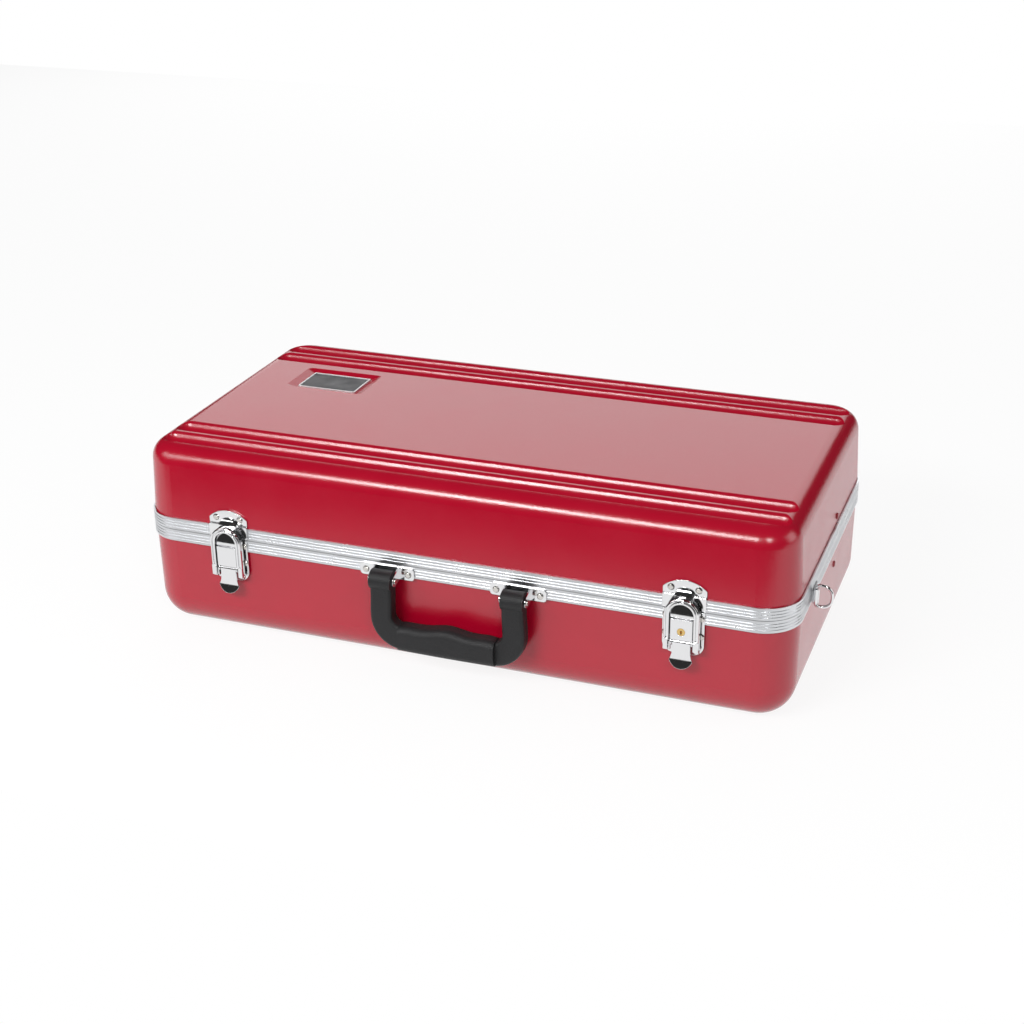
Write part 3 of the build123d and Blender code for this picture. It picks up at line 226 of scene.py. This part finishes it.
# ---- Valance -----------------------------------------------------------------------------------
# The two aluminium edge profiles, extruded, bent round the corners and satin anodised. The
# drawing lines of the die run along them.
def metal(name, colour, roughness, line_pitch, relief, run, edge_round=0.0):
    """Metal whose fine marks run along the given stretch: (x, y, z) shares of the marks' pitch."""
    sheet = bpy.data.materials.new(name)
    sheet.use_nodes = True
    nodes, links = sheet.node_tree.nodes, sheet.node_tree.links
    shader = nodes["Principled BSDF"]
    shader.inputs["Base Color"].default_value = (*colour, 1)
    shader.inputs["Metallic"].default_value = 1.0
    place = nodes.new("ShaderNodeTexCoord")
    stretch = nodes.new("ShaderNodeMapping")
    stretch.inputs["Scale"].default_value = run
    links.new(place.outputs["Object"], stretch.inputs["Vector"])
    lines = nodes.new("ShaderNodeTexNoise")
    lines.inputs["Scale"].default_value = 1.0 / line_pitch
    lines.inputs["Detail"].default_value = 4.0
    links.new(stretch.outputs["Vector"], lines.inputs["Vector"])
    marks = nodes.new("ShaderNodeBump")
    marks.inputs["Strength"].default_value = 1.0
    marks.inputs["Distance"].default_value = relief
    links.new(lines.outputs["Fac"], marks.inputs["Height"])
    if edge_round:
        rounded = nodes.new("ShaderNodeBevel")
        rounded.samples = 6
        rounded.inputs["Radius"].default_value = edge_round
        links.new(rounded.outputs["Normal"], marks.inputs["Normal"])
    links.new(marks.outputs["Normal"], shader.inputs["Normal"])
    wear = nodes.new("ShaderNodeTexNoise")
    wear.inputs["Scale"].default_value = 55.0
    wear.inputs["Detail"].default_value = 6.0
    links.new(place.outputs["Object"], wear.inputs["Vector"])
    dull = nodes.new("ShaderNodeMapRange")
    dull.inputs["From Min"].default_value = 0.35
    dull.inputs["From Max"].default_value = 0.75
    dull.inputs["To Min"].default_value = roughness
    dull.inputs["To Max"].default_value = roughness * 1.5
    links.new(wear.outputs["Fac"], dull.inputs["Value"])
    links.new(dull.outputs["Result"], shader.inputs["Roughness"])
    return sheet


satin_aluminium = metal("satin_aluminium", colour=(0.70, 0.71, 0.73), roughness=0.26,
                        line_pitch=0.0010, relief=0.0000005, run=(0.01, 0.01, 1.0))
paint("base_valance", satin_aluminium)
paint("lid_valance", satin_aluminium)

# ---- Latches, hinges, brackets, clips and rings ------------------------------------------------
# Pressed and rolled steel, chromium plated and bright, with the faintest polishing waves. Plates,
# leaves, brackets and clips are riveted on, and the levers, bails and rings turn in them.
chrome = metal("chrome", colour=(0.78, 0.78, 0.79), roughness=0.07, line_pitch=0.004,
               relief=0.00001, run=(1.0, 1.0, 1.0), edge_round=0.0004)
for side in ("left", "right"):
    for piece in ("catch_plate", "latch_base", "latch_lever", "latch_bail", "handle_bracket",
                  "hinge_base_leaf", "hinge_lid_leaf", "ring_clip", "strap_ring"):
        paint(f"{side}_{piece}", chrome)
paint("hinge_pins", chrome)

# ---- Rivets and handle pins --------------------------------------------------------------------
# Steel rivets and pins, nickel plated, a touch warmer and softer than the chrome around them. The
# two rivets of the lid stay come through the right-hand end and are painted red; their red is made
# darker than the shell's as painted shade.
nickel = metal("nickel", colour=(0.66, 0.64, 0.61), roughness=0.14, line_pitch=0.001,
               relief=0.00001, run=(1.0, 1.0, 1.0), edge_round=0.0006)
for group in ("latch_rivets", "catch_rivets", "handle_bracket_rivets", "hinge_base_rivets",
              "hinge_lid_rivets", "ring_clip_rivets", "handle_pins"):
    paint(group, nickel)
# The stay rivets' red, made darker than the shell's red as painted shade.
rivet_red_and_painted_shade = grained_plastic("rivet_red_and_painted_shade", colour=(0.30, 0.004, 0.012),
                                shade=(0.20, 0.003, 0.008), cell=0.002, relief=0.00002,
                                roughness=0.3)
paint("stay_base_rivet", rivet_red_and_painted_shade)
paint("stay_lid_rivet", rivet_red_and_painted_shade)

# ---- Lock plug ---------------------------------------------------------------------------------
# Turned brass plug with fine marks across its face, in the right latch only. It turns in the
# housing of the latch's base.
brass = metal("brass", colour=(0.72, 0.50, 0.20), roughness=0.17, line_pitch=0.0004,
              relief=0.00001, run=(1.0, 1.0, 0.1))
paint("lock_plug", brass)

# ---- Name plate --------------------------------------------------------------------------------
# Thin metal plate in the lid's sunk panel, left bare: a dark brushed field inside a bright border.
# The border is found by how near a point lies to the plate's rim.
plate_metal = metal("plate_metal", colour=(0.17, 0.17, 0.18), roughness=0.42, line_pitch=0.0004,
                    relief=0.00001, run=(0.03, 1.0, 1.0))
plate_low, plate_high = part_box("name_plate")
plate_border = 0.0014
nodes, links = plate_metal.node_tree.nodes, plate_metal.node_tree.links
centring = nodes.new("ShaderNodeVectorMath")
centring.operation = "SUBTRACT"
centring.inputs[1].default_value = (plate_low + plate_high) / 2
links.new(nodes["Texture Coordinate"].outputs["Object"], centring.inputs[0])
mirrored_side = nodes.new("ShaderNodeVectorMath")
mirrored_side.operation = "ABSOLUTE"
links.new(centring.outputs[0], mirrored_side.inputs[0])
sides_apart = nodes.new("ShaderNodeSeparateXYZ")
links.new(mirrored_side.outputs[0], sides_apart.inputs[0])
on_border = nodes.new("ShaderNodeMath")
on_border.operation = "MAXIMUM"
for side, axis in enumerate("XY"):
    near_rim = nodes.new("ShaderNodeMath")
    near_rim.operation = "GREATER_THAN"
    near_rim.inputs[1].default_value = (plate_high[side] - plate_low[side]) / 2 - plate_border
    links.new(sides_apart.outputs[axis], near_rim.inputs[0])
    links.new(near_rim.outputs[0], on_border.inputs[side])
field_and_border = nodes.new("ShaderNodeMix")
field_and_border.data_type = "RGBA"
field_and_border.inputs["A"].default_value = (0.10, 0.10, 0.105, 1)
field_and_border.inputs["B"].default_value = (0.90, 0.90, 0.91, 1)
links.new(on_border.outputs[0], field_and_border.inputs["Factor"])
links.new(field_and_border.outputs["Result"], nodes["Principled BSDF"].inputs["Base Color"])
paint("name_plate", plate_metal)

# ---- Handle ------------------------------------------------------------------------------------
# One-piece moulded handle in black vinyl with a pebbled grain, matt and faintly mottled. It swings
# on a pin through the top of each leg.
black_vinyl = grained_plastic("black_vinyl", colour=(0.018, 0.018, 0.019),
                              shade=(0.012, 0.012, 0.013), cell=0.0009, relief=0.00016,
                              roughness=0.44)
black_vinyl.node_tree.nodes["Principled BSDF"].inputs["Specular IOR Level"].default_value = 0.3
paint("handle", black_vinyl)

# ---- Base lining -------------------------------------------------------------------------------
# A block of soft foam shaped for the trumpet, its valves, bell and mouthpieces, with two open wells
# beside them. Short black plush is glued over it, so every edge is round and slightly full.
def plush_pile():
    """Short black plush: soft sheen, brushed patches and a fine pile."""
    plush = bpy.data.materials.new("black_plush")
    plush.use_nodes = True
    nodes, links = plush.node_tree.nodes, plush.node_tree.links
    shader = nodes["Principled BSDF"]
    shader.inputs["Roughness"].default_value = 0.95
    shader.inputs["Specular IOR Level"].default_value = 0.15
    shader.inputs["Sheen Weight"].default_value = 0.8
    shader.inputs["Sheen Roughness"].default_value = 0.45
    shader.inputs["Sheen Tint"].default_value = (0.50, 0.50, 0.54, 1)
    place = nodes.new("ShaderNodeTexCoord")
    tufts = nodes.new("ShaderNodeTexVoronoi")
    tufts.inputs["Scale"].default_value = 1100.0
    links.new(place.outputs["Object"], tufts.inputs["Vector"])
    lie = nodes.new("ShaderNodeTexNoise")
    lie.inputs["Scale"].default_value = 240.0
    lie.inputs["Detail"].default_value = 4.0
    links.new(place.outputs["Object"], lie.inputs["Vector"])
    pile = nodes.new("ShaderNodeMath")
    pile.operation = "ADD"
    links.new(tufts.outputs["Distance"], pile.inputs[0])
    links.new(lie.outputs["Fac"], pile.inputs[1])
    nap = nodes.new("ShaderNodeBump")
    nap.inputs["Strength"].default_value = 0.9
    nap.inputs["Distance"].default_value = 0.0004
    links.new(pile.outputs[0], nap.inputs["Height"])
    links.new(nap.outputs["Normal"], shader.inputs["Normal"])
    brushed = nodes.new("ShaderNodeTexNoise")
    brushed.inputs["Scale"].default_value = 22.0
    brushed.inputs["Detail"].default_value = 3.0
    links.new(place.outputs["Object"], brushed.inputs["Vector"])
    tone = nodes.new("ShaderNodeMix")
    tone.data_type = "RGBA"
    tone.inputs["A"].default_value = (0.010, 0.010, 0.012, 1)
    tone.inputs["B"].default_value = (0.030, 0.030, 0.034, 1)
    links.new(brushed.outputs["Fac"], tone.inputs["Factor"])
    links.new(tone.outputs["Result"], shader.inputs["Base Color"])
    return plush


def foam_lining(node, name, body, lining_voxel, fullness):
    """Plush-covered foam in the place of a CAD node: rounded, then swollen a little by cloth pressure."""
    solid = frame["nodes"][node]
    lining = bpy.data.objects.new(name, solid.data.copy())
    bpy.context.scene.collection.objects.link(lining)
    bpy.ops.object.select_all(action="DESELECT")
    lining.select_set(True)
    bpy.context.view_layer.objects.active = lining
    bpy.ops.object.mode_set(mode="EDIT")
    bpy.ops.mesh.select_all(action="SELECT")
    bpy.ops.mesh.remove_doubles(threshold=0.00005)
    bpy.ops.object.mode_set(mode="OBJECT")
    remesh = lining.modifiers.new("even_skin", "REMESH")
    remesh.mode = "VOXEL"
    remesh.voxel_size = lining_voxel
    bpy.ops.object.modifier_apply(modifier=remesh.name)
    soften = lining.modifiers.new("soft_edges", "SMOOTH")
    soften.factor = 0.5
    soften.iterations = 5
    bpy.ops.object.modifier_apply(modifier=soften.name)
    before = [vertex.co.copy() for vertex in lining.data.vertices]
    swell = lining.modifiers.new("swell", "CLOTH")
    swell.settings.quality = 4
    swell.settings.use_pressure = True
    swell.settings.uniform_pressure_force = 4.0
    swell.settings.effector_weights.gravity = 0.0
    scene = bpy.context.scene
    for moment in range(1, 15):
        scene.frame_set(moment)
    bpy.ops.object.modifier_apply(modifier=swell.name)
    scene.frame_set(1)
    for vertex, start in zip(lining.data.vertices, before):
        travel = vertex.co - start
        if travel.length > fullness:
            vertex.co = start + travel.normalized() * fullness
    settle = lining.modifiers.new("settle", "SMOOTH")
    settle.factor = 0.5
    settle.iterations = 2
    bpy.ops.object.modifier_apply(modifier=settle.name)
    bpy.ops.object.shade_smooth()
    lining.data.materials.clear()
    lining.data.materials.append(black_plush)
    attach(lining, body)
    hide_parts(node)
    return lining


black_plush = plush_pile()
foam_lining("base_liner", name="base_lining", body="base", lining_voxel=0.004, fullness=0.0012)

# ---- Lid lining --------------------------------------------------------------------------------
# The same plush over a foam tray that lines the lid and leaves room for the upper half of the
# instrument.
foam_lining("lid_liner", name="lid_lining", body="lid", lining_voxel=0.004, fullness=0.0012)

# ---- Lid stay ----------------------------------------------------------------------------------
# Flat woven strap, 18 mm wide, riveted to the right-hand end of both shells. It is straight when the
# lid stands fully open, and folds towards the hinges as the lid closes, so each of its points is
# turned back about the hinge pin by its own share of the swing.
stay_foot = Vector((0.27295, 0.022, 0.066))
stay_head = Vector((0.27295, 0.022, 0.110))
stay_width = 0.018
stay_thickness = 0.0012
stay_overlap = 0.008
stay_steps = 60
stay_ribs = 4
lid_hinge = next(joint for joint in frame["record"]["behaviour"]["joints"]
                 if joint["name"] == "lid_hinge")
pin_y, pin_z = lid_hinge["pos_m"][1:]
full_swing = math.radians(max(lid_hinge["range_deg"]))


def turned(point, angle):
    """A point of the lid after the lid has swung open by an angle."""
    y, z = point.y - pin_y, point.z - pin_z
    return Vector((point.x, pin_y + y * math.cos(angle) + z * math.sin(angle),
                   pin_z - y * math.sin(angle) + z * math.cos(angle)))


def folded_back(point):
    """Where a point of the straight strap lies when the lid is shut."""
    low, high = 0.0, 1.0
    halvings = 40
    for _ in range(halvings):
        share = (low + high) / 2
        rest = turned(point, -share * full_swing)
        rise = min(1, max(0, (rest.z - stay_foot.z) / (stay_head.z - stay_foot.z)))
        if rise * rise * (3 - 2 * rise) > share:
            low = share
        else:
            high = share
    return rest


stay_pull = turned(stay_head, full_swing) - stay_foot
stay_run = stay_pull.normalized()
stay_across = Vector((0, -stay_run.z, stay_run.y)) * stay_width / 2
bpy.ops.mesh.primitive_grid_add(x_subdivisions=stay_ribs, y_subdivisions=stay_steps, size=1)
stay = bpy.context.object
stay.name = "lid_stay"
for vertex in stay.data.vertices:
    across = stay_across * (2 * vertex.co.x)
    along = stay_run * ((vertex.co.y + 0.5) * (stay_pull.length + 2 * stay_overlap) - stay_overlap)
    vertex.co = folded_back(stay_foot + along + across)
thicken = stay.modifiers.new("thickness", "SOLIDIFY")
thicken.thickness = stay_thickness
thicken.offset = 0.0
bpy.ops.object.modifier_apply(modifier=thicken.name)
bpy.ops.object.shade_smooth_by_angle(angle=math.radians(40))
webbing = bpy.data.materials.new("black_webbing")
webbing.use_nodes = True
nodes, links = webbing.node_tree.nodes, webbing.node_tree.links
shader = nodes["Principled BSDF"]
shader.inputs["Base Color"].default_value = (0.016, 0.016, 0.018, 1)
shader.inputs["Roughness"].default_value = 0.7
shader.inputs["Sheen Weight"].default_value = 0.2
weave_map = nodes.new("ShaderNodeUVMap")
weave_size = nodes.new("ShaderNodeMapping")
weave_size.inputs["Scale"].default_value = (12.0, 150.0, 1.0)
links.new(weave_map.outputs["UV"], weave_size.inputs["Vector"])
crossing = nodes.new("ShaderNodeMath")
crossing.operation = "MULTIPLY"
for thread, direction in enumerate("XY"):
    ribs = nodes.new("ShaderNodeTexWave")
    ribs.bands_direction = direction
    ribs.inputs["Scale"].default_value = 0.32
    links.new(weave_size.outputs["Vector"], ribs.inputs["Vector"])
    links.new(ribs.outputs["Fac"], crossing.inputs[thread])
weave = nodes.new("ShaderNodeBump")
weave.inputs["Distance"].default_value = 0.0003
links.new(crossing.outputs[0], weave.inputs["Height"])
links.new(weave.outputs["Normal"], shader.inputs["Normal"])
stay.data.materials.append(webbing)
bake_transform(stay)
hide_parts("stay_strap")
